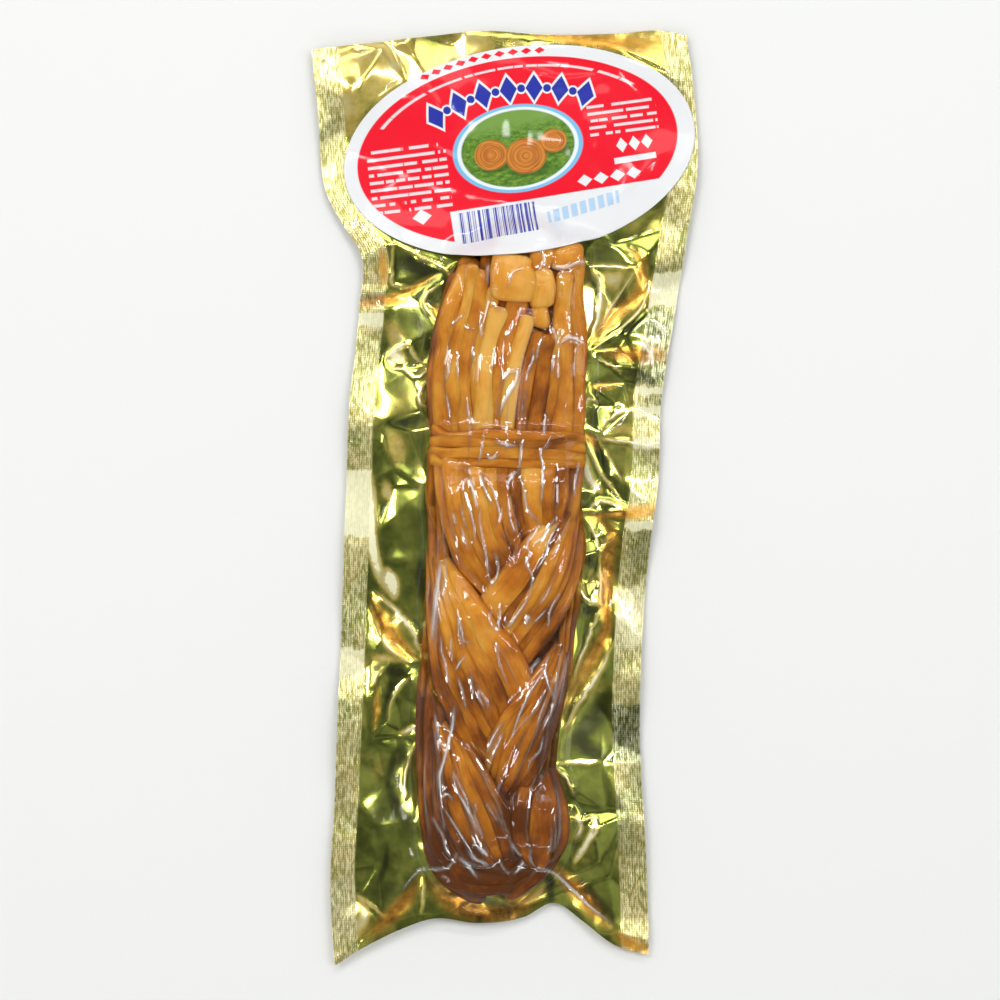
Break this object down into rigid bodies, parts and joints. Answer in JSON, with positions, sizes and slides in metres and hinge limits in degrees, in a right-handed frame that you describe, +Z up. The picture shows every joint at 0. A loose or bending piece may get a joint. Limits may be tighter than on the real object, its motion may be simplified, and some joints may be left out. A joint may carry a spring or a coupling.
{
  "type": "vacuum-packed braided string cheese",
  "caption": "Braided smoked string cheese, tied near one end, in a flat vacuum pouch with a foil back, a clear front and an oval paper label.",
  "frame": {"origin": "on the surface it lies on, under the middle of the pouch", "axes": "+Z up through the clear front, +Y along the pouch towards the label's end, +X across it"},
  "size_m": [0.1032, 0.2499, 0.0169],
  "materials": {
    "foil": "gold-coloured metallised laminate, glossy, creased",
    "film": "clear shrunk plastic film",
    "cheese": "smoked cheese strings, orange-brown and moist",
    "label": "coated paper with a white rim and a red field"
  },
  "bodies": {
    "root": {"backing_foil": "foil", "plait_in_film": "film", "label": "label"}
  },
  "joints": []
}
